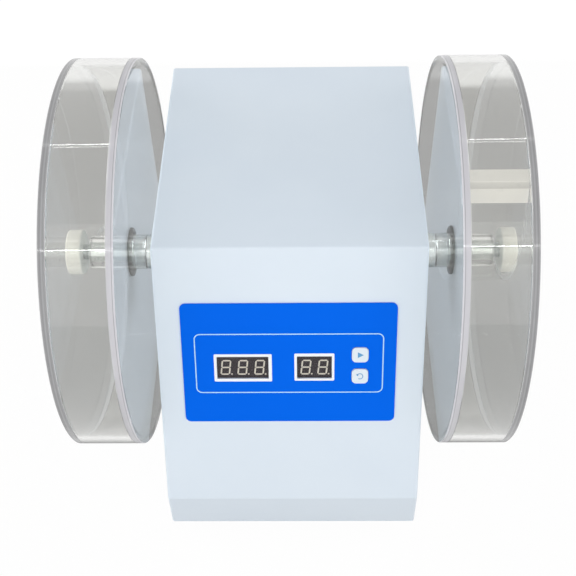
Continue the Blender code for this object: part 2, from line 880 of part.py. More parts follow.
def drive_gear(axis):
    low, high = gear_x - face_width / 2, gear_x + face_width / 2
    gear = piece("drive_gear", prism(gear_outline(gear_teeth, -math.pi / 2), low, high),
                 zinc_steel(), axis)
    hub = rod(gear_x, high + gear_hub_length, gear_hub_radius)
    join(gear, helper("gear_hub", hub, axis))
    bore = rod(low - cut_overrun, high + gear_hub_length + cut_overrun, core_radius + seat_gap)
    cut(gear, helper("gear_bore", bore, axis))
    root_radius = tooth_module * (gear_teeth / 2 - root_share)
    ring = (gear_hub_radius + root_radius) / 2
    holes = []
    for index in range(gear_hole_count):
        turn = 2 * math.pi * index / gear_hole_count
        outline = circle(gear_hole_radius, small_steps, ring * math.cos(turn), ring * math.sin(turn))
        holes.append(prism(outline, low - cut_overrun, high + cut_overrun))
    cut(gear, helper("gear_holes", merged(holes), axis))


def pinion(axis):
    low = -face_width / 2 - pinion_extra_width
    high = face_width / 2 + pinion_extra_width
    first_tooth = math.pi / 2 + math.pi / pinion_teeth
    wheel = piece("pinion", prism(gear_outline(pinion_teeth, first_tooth), low, high),
                  material("brass", (196, 168, 92), 0.35, 1.0), axis)
    bore = rod(low - cut_overrun, high + cut_overrun, output_radius + seat_gap)
    cut(wheel, helper("pinion_bore", bore, axis))


motor_bracket_thickness = 0.004
motor_bracket_width = 0.074
motor_bracket_gap = 0.0045
motor_bracket_bend = 0.007
motor_bracket_corner = 0.011
gearbox_depth = 0.066
gearbox_height = 0.072
gearbox_length = 0.034
gearbox_above_output = 0.024
gearbox_bevel = 0.003
gearbox_boss_radius = 0.011
gearbox_boss = 0.0035
output_in_gearbox = 0.020
motor_radius = 0.029
motor_from_upright = 0.008
motor_drop = 0.012
motor_cap = 0.008
motor_cap_radius = 0.026
motor_nose = 0.004

pinion_in = gear_x - face_width / 2 - pinion_extra_width
bracket_out = pinion_in - motor_bracket_gap
bracket_in = bracket_out - motor_bracket_thickness
gearbox_out = bracket_in - seat_gap
gearbox_in = gearbox_out - gearbox_length
motor_out = gearbox_in - seat_gap
motor_end = motor_from_upright - upright_in


def output_shaft(axis):
    low = gearbox_out - output_in_gearbox - gear_x
    high = face_width / 2 + pinion_extra_width + seat_gap
    piece("output_shaft", rod(low, high, output_radius, small_steps), bright_steel(), axis)


def motor_bracket():
    """Folded steel plate that the gearbox is bolted to, with its foot on the base plate."""
    top = pinion_z + gearbox_above_output
    view = folded_plate(gearbox_in, bracket_out, top + cut_overrun - floor_inside,
                        motor_bracket_thickness, motor_bracket_bend)
    reach = motor_bracket_width / 2 + cut_overrun
    bracket = piece("motor_bracket", prism(view, -reach, reach, "Y"), zinc_steel(), None,
                    (0, shaft_y, floor_inside))
    low = floor_inside - cut_overrun
    corner = motor_bracket_corner
    outline = rectangle(motor_bracket_width, top - low, 0, (top + low) / 2)
    outline = rounded(outline, [0, 0, corner, corner])
    front = prism(outline, gearbox_in - cut_overrun, bracket_out + cut_overrun)
    combine(bracket, "INTERSECT", helper("bracket_front", front, None, (0, shaft_y, 0)))
    bore = rod(bracket_in - cut_overrun, bracket_out + cut_overrun, gearbox_boss_radius + seat_gap)
    cut(bracket, helper("bracket_bore", bore, None, (0, shaft_y, pinion_z)))


def gearbox():
    low_z = pinion_z + gearbox_above_output - gearbox_height
    shape = block((gearbox_in, shaft_y - gearbox_depth / 2, low_z),
                  (gearbox_out, shaft_y + gearbox_depth / 2, low_z + gearbox_height))
    bmesh.ops.bevel(shape, geom=shape.edges[:], offset=gearbox_bevel, segments=2, profile=0.5,
                    affect="EDGES")
    box = piece("gearbox", shape, material("cast_alloy", (150, 153, 156), 0.5, 0.8))
    boss = rod(gearbox_out - gearbox_length / 2, gearbox_out + gearbox_boss, gearbox_boss_radius)
    join(box, helper("gearbox_boss", boss, None, (0, shaft_y, pinion_z)))
    bore = rod(gearbox_out - output_in_gearbox - seat_gap, gearbox_out + gearbox_boss + cut_overrun,
               output_radius + running_gap, small_steps)
    cut(box, helper("gearbox_bore", bore, None, (0, shaft_y, pinion_z)))


def motor():
    """Small induction motor: a drawn body between two end caps."""
    profile = [(motor_out, 0), (motor_out, motor_cap_radius), (motor_out - motor_nose, motor_cap_radius),
               (motor_out - motor_nose, motor_radius), (motor_end + motor_cap, motor_radius),
               (motor_end + motor_cap, motor_cap_radius), (motor_end + motor_nose, motor_cap_radius),
               (motor_end, motor_cap_radius - motor_nose), (motor_end, 0)]
    piece("motor", turned(profile), material("motor_grey", (92, 96, 100), 0.5, 0.4),
          None, (0, shaft_y, pinion_z - motor_drop))


# The turn counter: a slotted disc on the shaft, read by a forked light sensor.
disc_from_upright = 0.024
disc_radius = 0.035
disc_thickness = 0.0015
disc_hub_radius = 0.015
disc_hub_length = 0.010
disc_slot_count = 12
disc_steps = 32
disc_slot_width = 0.004
disc_slot_depth = 0.008
disc_rim = 0.002
sensor_arm = 0.003
sensor_gap = 0.0012
sensor_depth = 0.012
sensor_reach = 0.009
sensor_bridge = 0.006
sensor_plate = 0.002
sensor_plate_depth = 0.018
sensor_leg = 0.012

disc_x = disc_from_upright - upright_in


def encoder_disc(axis):
    low, high = disc_x - disc_thickness / 2, disc_x + disc_thickness / 2
    bore = core_radius + seat_gap
    profile = [(low, bore), (low, disc_radius), (high, disc_radius), (high, disc_hub_radius),
               (high + disc_hub_length, disc_hub_radius), (high + disc_hub_length, bore)]
    disc = piece("encoder_disc", turned(profile, disc_steps), black_plastic(), axis)
    slots = []
    for index in range(disc_slot_count):
        turn = 2 * math.pi * index / disc_slot_count
        outer = disc_radius - disc_rim
        slot = prism(rectangle(disc_slot_depth, disc_slot_width, outer - disc_slot_depth / 2),
                     low - cut_overrun, high + disc_thickness)
        bmesh.ops.rotate(slot, verts=slot.verts, cent=(0, 0, 0), matrix=axis_turn(turn))
        slots.append(slot)
    cut(disc, helper("disc_slots", merged(slots), axis))


def axis_turn(angle):
    """A turn about the shaft."""
    return Matrix.Rotation(angle, 3, "X")


def photo_sensor(place):
    """A fork that straddles the disc's rim from behind."""
    half_slot = disc_thickness / 2 + sensor_gap
    half_fork = half_slot + sensor_arm
    low = disc_radius - sensor_reach
    slot_top = disc_radius + sensor_gap
    high = slot_top + sensor_bridge
    outline = [(-half_fork, low), (-half_slot, low), (-half_slot, slot_top), (half_slot, slot_top),
               (half_slot, low), (half_fork, low), (half_fork, high), (-half_fork, high)]
    outline = [(disc_x + x, z) for x, z in outline]
    piece("photo_sensor", prism(outline, -sensor_depth / 2, sensor_depth / 2, "Y"), black_plastic(), place)


def sensor_bracket(place):
    """An angle on the left upright's head that carries the sensor."""
    under = disc_radius + sensor_gap + sensor_bridge + seat_gap
    wall = -upright_in + seat_gap
    reach = disc_x + sensor_gap + sensor_arm + disc_thickness
    head = upright_head_radius
    outline = [(wall, head - sensor_leg), (wall + sensor_plate, head - sensor_leg),
               (wall + sensor_plate, under), (reach, under), (reach, under + sensor_plate),
               (wall, under + sensor_plate)]
    shape = prism(outline, -sensor_plate_depth / 2, sensor_plate_depth / 2, "Y")
    piece("sensor_bracket", shape, zinc_steel(), place)


# Control board on the base plate's studs, and the transformer beside it.
relay_size = (0.018, 0.014, 0.015)
heat_sink_size = (0.024, 0.010, 0.022)
board_blocks = (relay_size, relay_size, heat_sink_size)
board_block_shares = ((-0.5, 0.4), (0.35, 0.4), (-0.3, -0.5))
capacitor_radius = 0.006
capacitor_height = 0.018
capacitor_shares = (0.5, -0.5)
transformer_x = -0.044
transformer_y = 0.092
core_width = 0.057
core_height = 0.048
core_depth = 0.026
coil_width = 0.036
coil_height = 0.034
coil_depth = 0.044
coil_corner = 0.0045
transformer_foot = 0.003
transformer_foot_width = 0.074
transformer_foot_depth = 0.018


def control_board():
    low = base_top + stud_height + seat_gap
    high = low + board_thickness
    half_x, half_y = control_board_width / 2, control_board_depth / 2
    board = piece("control_board", block((-half_x, -half_y, low), (half_x, half_y, high)),
                  circuit_board(), None, (control_board_x, control_board_y, 0))
    rooted = high - board_thickness / 2
    parts = []
    for (width, depth, height), (share_x, share_y) in zip(board_blocks, board_block_shares):
        outline = rectangle(width, depth, share_x * half_x, share_y * half_y)
        parts.append(prism(outline, rooted, high + height, "Z"))
    join(board, helper("board_blocks", merged(parts), None, (control_board_x, control_board_y, 0)))
    can = rod(rooted, high + capacitor_height, capacitor_radius, small_steps, "Z")
    share_x, share_y = capacitor_shares
    place = (control_board_x + share_x * half_x, control_board_y + share_y * half_y, 0)
    join(board, helper("board_can", can, None, place))


def transformer():
    """Laminated core with its winding, on a strap foot."""
    low = floor_inside
    place = (transformer_x, transformer_y, 0)
    core = prism(rectangle(core_width, core_height, 0, low + core_height / 2),
                 -core_depth / 2, core_depth / 2, "Y")
    made = piece("transformer", core, material("lamination", (84, 82, 80), 0.55, 0.6), None, place)
    coil_outline = rounded_rectangle(coil_width, coil_height, coil_corner, 0, low + core_height / 2)
    coil = prism(coil_outline, -coil_depth / 2, coil_depth / 2, "Y")
    foot = prism(rectangle(transformer_foot_width, transformer_foot, 0, low + transformer_foot / 2),
                 -transformer_foot_depth / 2, transformer_foot_depth / 2, "Y")
    join(made, helper("winding", coil, None, place), helper("transformer_foot", foot, None, place))


# The drums. Each is a back plate, a ring, a hub tube and a curved baffle of clear acrylic, and a lid
# that the lock nut holds against the ring.
baffle_steps = 18
baffle_wall_angle = {"right": math.radians(114), "left": math.radians(294)}
lid_chamfer = 0.0006
nut_chamfer = 0.002


def drive_flanges(axis):
    """Steel collars that the drums stand off on."""
    low, high = wall_inner - seal_flange, back_plate_in - seat_gap
    inner = shaft_radius + seat_gap
    profile = [(low, inner), (low, collar_radius), (high, collar_radius), (high, inner)]
    for side, sign in SIDES.items():
        piece(f"drive_flange_{side}", turned(one_side(profile, sign)), bright_steel(), axis)


def drum_back_plates(axis):
    inner = shaft_radius + seat_gap
    profile = [(back_plate_in, inner), (back_plate_in, drum_radius - lid_chamfer),
               (back_plate_in + lid_chamfer, drum_radius), (back_plate_out, drum_radius),
               (back_plate_out, inner)]
    for side, sign in SIDES.items():
        piece(f"drum_back_plate_{side}", turned(one_side(profile, sign), drum_steps), clear_acrylic(), axis)


def drum_rings(axis):
    low, high = back_plate_out + seat_gap, lid_in - seat_gap
    profile = [(low, ring_inner_radius), (low, drum_radius), (high, drum_radius), (high, ring_inner_radius)]
    for side, sign in SIDES.items():
        piece(f"drum_ring_{side}", turned(one_side(profile, sign), drum_steps), clear_acrylic(), axis)


def hub_tubes(axis):
    low, high = back_plate_out + seat_gap, lid_in - seat_gap
    inner, outer = shaft_radius + seat_gap, hub_diameter / 2
    profile = [(low, inner), (low, outer), (high, outer), (high, inner)]
    for side, sign in SIDES.items():
        piece(f"drum_hub_{side}", turned(one_side(profile, sign), drum_steps // 2), clear_acrylic(), axis)


def baffle_outline():
    """An arc through the drum's middle, trimmed to the hub and to the ring's flat sides."""
    arc_middle = baffle_inner_radius + baffle_thickness / 2
    wall_reach = ring_inner_radius * math.cos(math.pi / drum_steps) - seat_gap
    hub_reach = hub_diameter / 2 + seat_gap
    faces = []
    for face in (baffle_inner_radius, baffle_inner_radius + baffle_thickness):
        start, end = (math.acos((arc_middle ** 2 + face ** 2 - reach ** 2) / (2 * arc_middle * face))
                      for reach in (hub_reach, wall_reach))
        turns = [start + (end - start) * step / baffle_steps for step in range(baffle_steps + 1)]
        faces.append([(arc_middle - face * math.cos(turn), face * math.sin(turn)) for turn in turns])
    inner, outer = faces
    wall_point = (Vector(inner[-1]) + Vector(outer[-1])) / 2
    return inner + outer[::-1], math.atan2(wall_point.y, wall_point.x)


def baffles(axis):
    """The curved blade that lifts the tablets and lets them fall, once each turn."""
    outline, own_angle = baffle_outline()
    for side, sign in SIDES.items():
        low, high = sorted((sign * (back_plate_out + seat_gap), sign * (lid_in - seat_gap)))
        piece(f"drum_baffle_{side}", prism(outline, low, high), clear_acrylic(), axis,
              (0, 0, 0), (baffle_wall_angle[side] - own_angle, 0, 0))


def drum_lids(axis):
    inner = stud_radius + seat_gap
    profile = [(lid_in, inner), (lid_in, drum_radius), (lid_out - lid_chamfer, drum_radius),
               (lid_out, drum_radius - lid_chamfer), (lid_out, inner)]
    for side, sign in SIDES.items():
        piece(f"drum_lid_{side}", turned(one_side(profile, sign), drum_steps), clear_acrylic(), axis)


def lock_nuts(axis):
    """Blind nylon nuts, turned with a chamfer on the outer edge."""
    radius = nut_diameter / 2
    low, inner = lid_out + seat_gap, stud_radius + running_gap
    profile = [(stud_end + running_gap, 0), (stud_end + running_gap, inner), (low, inner), (low, radius),
               (nut_out - nut_chamfer, radius), (nut_out, radius - nut_chamfer), (nut_out, 0)]
    for side, sign in SIDES.items():
        piece(f"lock_nut_{side}", turned(one_side(profile, sign)), cream_nylon(), axis)


def build():
    clear_scene()
    slope = empty("slope_frame", (0, brow_y, top_z), (slope_angle, 0, 0))
    axis = empty("shaft_axis", (0, shaft_y, shaft_z))
    sensor_place = empty("sensor_place", (0, shaft_y, shaft_z), (-math.pi / 2, 0, 0))
    pinion_axis = empty("pinion_axis", (gear_x, shaft_y, pinion_z))
    inlet_place = empty("inlet_place", (inlet_x, panel_outer, inlet_z))
    switch_place = empty("switch_place", (switch_x, panel_outer, inlet_z))
    pivot = empty("rocker_pivot", (0, seat_gap + bezel_thickness - rocker_pivot_depth, 0))
    pivot.parent = switch_place

    housing_shell(slope)
    base_plate()
    rear_panel()
    feet()
    membrane_panel(slope)
    window_panes(slope)
    display_modules(slope)
    keys(slope)
    key_switches(slope)
    front_board(slope)
    bearing_uprights()
    bearings()
    shaft_seals()
    gearbox()
    motor()
    motor_bracket()
    photo_sensor(sensor_place)
    sensor_bracket(sensor_place)
    control_board()
    transformer()
    rocker_frame(switch_place)
    power_rocker(pivot)
    mains_inlet(inlet_place)
    fuse_drawer(inlet_place)
    main_shaft(axis)
    drive_gear(axis)
    encoder_disc(axis)
    drive_flanges(axis)
    drum_back_plates(axis)
    drum_rings(axis)
    hub_tubes(axis)
    baffles(axis)
    drum_lids(axis)
    lock_nuts(axis)
    pinion(pinion_axis)
    output_shaft(pinion_axis)


build()
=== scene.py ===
"""Looks of a tablet friability tester: clear drums on a shaft through a painted steel housing.

Metres, +Z up, -Y to the front; X runs along the drum shaft.
"""

import math

import bmesh
import bpy
from mathutils import Matrix, Vector
from mathutils.bvhtree import BVHTree


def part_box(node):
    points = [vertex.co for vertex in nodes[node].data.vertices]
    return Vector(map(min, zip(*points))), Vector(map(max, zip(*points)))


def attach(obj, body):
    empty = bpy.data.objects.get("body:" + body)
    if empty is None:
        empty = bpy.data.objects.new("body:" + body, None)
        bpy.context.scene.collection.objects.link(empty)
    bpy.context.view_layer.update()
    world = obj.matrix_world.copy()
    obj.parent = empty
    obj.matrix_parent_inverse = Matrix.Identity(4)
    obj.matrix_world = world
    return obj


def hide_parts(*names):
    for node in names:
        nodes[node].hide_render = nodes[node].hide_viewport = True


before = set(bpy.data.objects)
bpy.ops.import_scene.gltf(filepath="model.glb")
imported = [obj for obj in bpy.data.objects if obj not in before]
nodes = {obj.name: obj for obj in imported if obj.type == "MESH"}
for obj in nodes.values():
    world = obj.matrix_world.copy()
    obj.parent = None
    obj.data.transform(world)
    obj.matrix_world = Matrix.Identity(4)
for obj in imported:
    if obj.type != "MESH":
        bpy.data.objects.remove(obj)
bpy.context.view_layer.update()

# The studio: a white sweep under even light, seen from above the front edge of the bench.
# Broad lamps hang over the camera and at both sides, where glossy faces show the white sweep instead
# of them. Two thin tube lamps, one behind and one by the camera, draw the bright lines on the drums.
eye = Vector((0.011156, -0.55280, 0.76021))
eye_right = Vector((0.99984196, 0.00732811, -0.01619745))
eye_up = Vector((0.0051825, 0.75137987, 0.65984956))
eye_back = eye_right.cross(eye_up)
lens = 64.32
sensor = 36
light_bounces = 28
glass_bounces = 24
ambient_level = 0.285
seen_white = 1.0
floor_reach = 6.0
floor_white = 1.04
floor_cover = 0.93
glass_cover = 0.16
bench_edge = 0.475
bench_front = -0.085
bench_side = 0.38
bench_fade = 0.03

camera_data = bpy.data.cameras.new("camera")
camera_data.lens = lens
camera_data.sensor_width = sensor
camera = bpy.data.objects.new("camera", camera_data)
camera.matrix_world = Matrix((eye_right, eye_up, eye_back)).transposed().to_4x4()
camera.matrix_world.translation = eye
bpy.context.collection.objects.link(camera)
scene = bpy.context.scene
scene.camera = camera
scene.view_settings.view_transform = "Standard"
scene.cycles.max_bounces = light_bounces
scene.cycles.transmission_bounces = glass_bounces
scene.cycles.transparent_max_bounces = glass_bounces


class Value:
    """A number, colour or direction that varies over a finish; arithmetic on it adds nodes."""

    def __init__(self, finish, socket):
        self.finish = finish
        self.socket = socket

    def maths(self, operation, first, second):
        return self.finish.node("ShaderNodeMath", [first, second], operation=operation)

    def __add__(self, other):
        return self.maths("ADD", self, other)

    def __sub__(self, other):
        return self.maths("SUBTRACT", self, other)

    def __rsub__(self, other):
        return self.maths("SUBTRACT", other, self)

    def __mul__(self, other):
        return self.maths("MULTIPLY", self, other)

    def __truediv__(self, other):
        return self.maths("DIVIDE", self, other)

    def __pow__(self, other):
        return self.maths("POWER", self, other)

    def __gt__(self, other):
        return self.maths("GREATER_THAN", self, other)

    def __lt__(self, other):
        return self.maths("LESS_THAN", self, other)

    def __abs__(self):
        return self.maths("ABSOLUTE", self, 0.0)

    def or_more(self, other):
        return self.maths("MAXIMUM", self, other)

    __radd__ = __add__
    __rmul__ = __mul__


class Finish:
    """The surface of one kind of piece; constant levels are set on its shader at once."""

    def __init__(self, name, levels=None, tree=None):
        if tree is None:
            self.material = bpy.data.materials.new(name)
            self.material.use_nodes = True
            tree = self.material.node_tree
            self.shader = tree.nodes["Principled BSDF"]
            self.surface = tree.nodes["Material Output"].inputs["Surface"]
            for socket, level in (levels or {}).items():
                self.shader.inputs[socket].default_value = level
        self.tree = tree

    def node(self, kind, inputs=(), output=0, stops=(), **settings):
        """Adds a node; its settings and a ramp's stops come first, then its sockets."""
        made = self.tree.nodes.new(kind)
        for name, setting in settings.items():
            setattr(made, name, setting)
        if stops:
            ramp = made.color_ramp.elements
            while len(ramp) < len(stops):
                ramp.new(1.0)
            for element, (place, colour) in zip(ramp, stops):
                element.position = place
                element.color = colour
        pairs = inputs.items() if isinstance(inputs, dict) else enumerate(inputs)
        for key, value in pairs:
            if isinstance(value, Value):
                self.tree.links.new(value.socket, made.inputs[key])
            else:
                made.inputs[key].default_value = value
        return Value(self, made.outputs[output])

    def feed(self, socket, value):
        self.tree.links.new(value.socket, self.shader.inputs[socket])

    def lay(self, share, shader):
        """Lays another shader over the surface, by a share that varies."""
        under = Value(self, self.surface.links[0].from_socket)
        both = self.node("ShaderNodeMixShader", [share, under, shader])
        self.tree.links.new(both.socket, self.surface)

    def place(self):
        return self.node("ShaderNodeTexCoord", output="Object")

    def axes(self):
        """The place on the piece as three numbers, in metres of the whole."""
        split = self.node("ShaderNodeSeparateXYZ", [self.place()])
        return [Value(self, split.socket.node.outputs[index]) for index in range(3)]

    def rays(self, *kinds):
        """For each kind of ray, 1 where the surface is met by it and 0 elsewhere."""
        path = self.node("ShaderNodeLightPath")
        return [Value(self, path.socket.node.outputs[kind]) for kind in kinds]

    def noise(self, scale, detail=2.0, stretch=None):
        """Soft random mottling between 0 and 1; stretch squeezes it along the three axes."""
        vector = self.place()
        if stretch:
            vector = self.node("ShaderNodeVectorMath", [vector, stretch], operation="MULTIPLY")
        return self.node("ShaderNodeTexNoise", {"Vector": vector, "Scale": scale, "Detail": detail})

    def mixed(self, share, first, second):
        """Colour between two colours, by a share that varies."""
        return self.node("ShaderNodeMix", {0: share, 6: first, 7: second}, output=2,
                         data_type="RGBA")

    def bumped(self, height, strength, distance):
        self.feed("Normal", self.node("ShaderNodeBump", {
            "Strength": strength, "Distance": distance, "Height": height}))


def colour(red, green, blue):
    """A colour seen on a screen, 0 to 255, as light levels."""
    levels = [channel / 255 for channel in (red, green, blue)]
    return tuple(level / 12.92 if level <= 0.04045 else ((level + 0.055) / 1.055) ** 2.4
                 for level in levels) + (1.0,)


world = bpy.data.worlds.new("studio")
world.use_nodes = True
scene.world = world
surround = Finish("surround", tree=world.node_tree)
sight, mirrored, through = surround.rays("Is Camera Ray", "Is Glossy Ray", "Is Transmission Ray")
seen = sight.or_more(mirrored).or_more(through)
background = world.node_tree.nodes["Background"]
background.inputs["Color"].default_value = (1.0, 1.0, 1.0, 1.0)
world.node_tree.links.new((ambient_level + seen * (seen_white - ambient_level)).socket,
                          background.inputs["Strength"])

floor_mesh = bpy.data.meshes.new("studio_floor")
floor_mesh.from_pydata([(-floor_reach, -floor_reach, 0), (floor_reach, -floor_reach, 0),
                        (floor_reach, floor_reach, 0), (-floor_reach, floor_reach, 0)],
                       [], [(0, 1, 2, 3)])
floor = bpy.data.objects.new("studio_floor", floor_mesh)
bpy.context.collection.objects.link(floor)
sweep = Finish("sweep_paper", {"Roughness": 0.9, "Specular IOR Level": 0.0})
bench = sweep.mixed(sweep.noise(3, 2), colour(163, 162, 160), colour(169, 168, 166))
aside, depth = sweep.axes()[:2]
behind = sweep.node("ShaderNodeClamp", [(depth - bench_edge) / bench_fade])
before = sweep.node("ShaderNodeClamp", [(bench_front - depth) / bench_fade])
beside = sweep.node("ShaderNodeClamp", [(abs(aside) - bench_side) / bench_fade])
white = behind.or_more(beside)
beyond = white.or_more(before)
sweep.feed("Base Color", sweep.mixed(white, bench, colour(250, 250, 248)))
sight, mirrored, through = sweep.rays("Is Camera Ray", "Is Glossy Ray", "Is Transmission Ray")
glassy = mirrored.or_more(through)
cover = sight * floor_cover + glassy * (glass_cover + beyond * (floor_cover - glass_cover))
glow = sweep.node("ShaderNodeEmission", {"Color": (1.0, 1.0, 1.0, 1.0), "Strength": floor_white})
sweep.lay(cover, glow)
floor_mesh.materials.append(sweep.material)


def lamp(name, place, width, height, power, turn=0, mirrored=False):
    """A rectangular lamp aimed at the middle of the tester; turn swings it round the upright."""
    data = bpy.data.lights.new(name, "AREA")
    data.shape = "RECTANGLE"
    data.size = width
    data.size_y = height
    data.energy = power
    made = bpy.data.objects.new(name, data)
    made.location = place
    aim = (middle - Vector(place)).to_track_quat("-Z", "Y").to_matrix()
    made.rotation_euler = (Matrix.Rotation(math.radians(turn), 3, "Z") @ aim).to_euler()
    made.visible_glossy = mirrored
    bpy.context.collection.objects.link(made)


middle = Vector((0, 0, 0.16))
lamp("front_softbox", (0, -2.0, 1.485), width=6.0, height=2.6, power=67.5)
lamp("side_softbox_left", (-1.6, 0.5, 0.65), width=1.0, height=0.5, power=16)
lamp("side_softbox_right", (1.6, 0.5, 0.65), width=1.0, height=0.5, power=12)
lamp("tube_behind", (0, 0.48, 1.75), width=2.4, height=0.013, power=2.0, turn=2.8, mirrored=True)
lamp("tube_by_camera", (0, -0.85, 1.12), width=2.4, height=0.009, power=2.0, turn=2.0,
     mirrored=True)

# The housing is folded and welded sheet steel, powder coated in a pale blue-white satin that has a
# faint orange peel. The rear panel, screwed to the housing's rear flanges, has the same coat.


def mottled(name, levels, tones, patch, rough, grain, spread):
    """A finish that drifts between two tones in patches, with a fine grain in its roughness.

    Patch and grain each give a noise's scale and detail, and its stretch if it has one.
    """
    finish = Finish(name, levels)
    finish.tone = finish.mixed(finish.noise(*patch), *tones)
    finish.feed("Base Color", finish.tone)
    finish.feed("Roughness", rough + finish.noise(*grain) * spread)
    return finish


def dress(finish, *names):
    """Gives CAD nodes a finish."""
    for name in names:
        mesh = nodes[name].data
        mesh.materials.clear()
        mesh.materials.append(finish.material)


paint = mottled("powder_coat", {"IOR": 1.5, "Coat Weight": 0.15, "Coat Roughness": 0.25},
                (colour(217, 228, 239), colour(224, 234, 243)),
                patch=(18, 3), rough=0.30, grain=(260, 3), spread=0.12)
paint.bumped(paint.noise(1100, 2), strength=0.12, distance=0.00012)
dress(paint, "housing_shell", "rear_panel")

# Each drum is solvent-welded from polished clear acrylic: a back plate on the steel flange, a rolled
# ring, a hub tube over the shaft and a curved baffle. The lid is a loose plate of the same sheet.
SIDES = {"left": -1, "right": 1}
ring_low, ring_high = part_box("drum_ring_right")
shaft_y = (ring_low.y + ring_high.y) / 2
shaft_z = (ring_low.z + ring_high.z) / 2
drum_radius = (ring_high.z - ring_low.z) / 2
plate_inner_face = 0.1115
lid_inner_face = 0.1555
acrylic_sheet = 0.005
plate_chamfer = 0.0005
weld_groove = 0.00012
shaft_bore = 0.0078
stud_bore = 0.0063
tube_chamfer = 0.0003
drum_steps = 256
tube_steps = 96
smooth_below = 35
acrylic_bend = 1.49
ring_tint = (0.90, 0.90, 0.88, 1.0)
ring_cloud = (0.875, 0.875, 0.86, 1.0)
plate_tint = (0.90, 0.915, 0.93, 1.0)
plate_cloud = (0.88, 0.895, 0.91, 1.0)
cloud_patch = (14, 2)
polish = (90, 3)
polish_spread = 0.02
lid_head_on = 0.03
lid_aslant = 0.5
rim_cover = 0.88
rim_thinner_inside = 0.4
streak_share = 0.12


def acrylic(name, tint, cloud, bend=acrylic_bend, thin=0.0):
    """Clear acrylic; lamps shine through it, and a thin strip lets most light go straight on."""
    finish = mottled(name, {"Transmission Weight": 1.0, "IOR": bend}, (cloud, tint),
                     patch=cloud_patch, rough=0.0, grain=polish, spread=polish_spread)
    shadow, soft = finish.rays("Is Shadow Ray", "Is Diffuse Ray")
    clear = finish.node("ShaderNodeBsdfTransparent", {"Color": tint})
    finish.lay(shadow.or_more(soft).or_more(thin), clear)
    return finish


ring_acrylic = acrylic("ring_acrylic", ring_tint, ring_cloud)
plate_acrylic = acrylic("plate_acrylic", plate_tint, plate_cloud)

lid_acrylic = mottled("lid_acrylic", {"Metallic": 1.0}, (plate_cloud, plate_tint),
                      patch=cloud_patch, rough=0.01, grain=polish, spread=polish_spread)
facing = lid_acrylic.node("ShaderNodeLayerWeight", {"Blend": 0.5}, output="Facing")
lid_acrylic.feed("Alpha", lid_head_on + facing ** 5 * lid_aslant)


def rim_finish(name, inner_face, bands):
    """A plate's cut edge, in bands of grey across it from its inner face: painted light and shade.
    """
    rim = Finish(name, {"IOR": acrylic_bend, "Coat Weight": 0.7, "Coat Roughness": 0.08})
    waver = rim.noise(25, 3) * 0.08 - 0.04
    share = (abs(rim.axes()[0]) - inner_face) / acrylic_sheet + waver
    painted_edge_light = rim.node("ShaderNodeValToRGB", [share], stops=[
        (place, colour(*shade)) for place, shade in bands])
    streaks = rim.mixed(rim.noise(30, 3, (8, 1, 1)), colour(120, 120, 124), colour(250, 250, 252))
    inside = rim.node("ShaderNodeNewGeometry", output="Backfacing")
    streaked = rim.mixed(streak_share, painted_edge_light, streaks)
    # Seen from inside, the edge is painted near white: painted light where its back lies in shade.
    rim.feed("Base Color", rim.mixed(inside, streaked, colour(250, 250, 250)))
    rim.feed("Roughness", 0.35 + rim.noise(300, 3) * 0.15)
    rim.feed("Alpha", rim_cover - inside * rim_thinner_inside)
    return rim


# The plate's edge: pale bands painted for the light carried in the clear sheet, and a dark joint
# hairline.
plate_rim = rim_finish("plate_rim", plate_inner_face, (
    (0.0, (222, 221, 227)), (0.20, (222, 221, 227)), (0.27, (134, 132, 139)),
    (0.34, (210, 209, 215)), (0.90, (205, 204, 210)), (1.0, (190, 190, 194))))
# The lid's edge: dark and pale bands painted for the shade and highlights seen in its clear edge.
lid_rim = rim_finish("lid_rim", lid_inner_face, (
    (0.0, (150, 150, 152)), (0.22, (96, 96, 98)), (0.45, (130, 130, 132)),
    (0.66, (90, 90, 93)), (0.85, (118, 118, 120)), (1.0, (160, 160, 162))))


def new_piece(name, mesh, finish, body, slot, *replaced):
    """Links a mesh as a piece of the tester that rides on a body and takes a finish; the slot is not
    used.
    """
    mesh.shade_smooth()
    mesh.set_sharp_from_angle(angle=math.radians(smooth_below))
    mesh.materials.append(finish.material)
    made = bpy.data.objects.new(name, mesh)
    bpy.context.collection.objects.link(made)
    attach(made, body)
    if replaced:
        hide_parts(*replaced)


def skin(shape, rows):
    """Lays faces from each ring of points to the next."""
    for first, second in zip(rows, rows[1:]):
        for step in range(len(first)):
            after = (step + 1) % len(first)
            corners = dict.fromkeys((first[step], first[after], second[after], second[step]))
            if len(corners) > 2:
                shape.faces.new(list(corners))


def as_mesh(name, shape):
    """Turns a shape's faces outward and makes a mesh of it."""
    bmesh.ops.recalc_face_normals(shape, faces=shape.faces)
    mesh = bpy.data.meshes.new(name)
    shape.to_mesh(mesh)
    shape.free()
    return mesh


def ring_of_points(shape, along, radii):
    """One point for each radius, spread evenly round the shaft's line."""
    points = []
    for step, radius in enumerate(radii):
        turn = 2 * math.pi * step / len(radii)
        points.append(shape.verts.new((along, shaft_y + radius * math.cos(turn),
                                       shaft_z + radius * math.sin(turn))))
    return points


def turned(name, profile, steps, sign=1, closed=True):
    """Spins a profile of (place along the shaft, radius) round the shaft, to one side."""
    shape = bmesh.new()
    rows = []
    for along, radius in profile:
        if radius == 0:
            rows.append([shape.verts.new((sign * along, shaft_y, shaft_z))] * steps)
        else:
            rows.append(ring_of_points(shape, sign * along, [radius] * steps))
    skin(shape, rows + rows[:1] if closed else rows)
    return as_mesh(name, shape)


def reach(name):
    """Where a CAD piece starts and ends along the shaft, from the middle of the tester."""
    return sorted(abs(corner.x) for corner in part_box(name))


def round_radius(name):
    low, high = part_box(name)
    return (high.z - low.z) / 2


def on_rim(face):
    off_shaft = math.hypot(face.center.y - shaft_y, face.center.z - shaft_z)
    return off_shaft > drum_radius - plate_chamfer


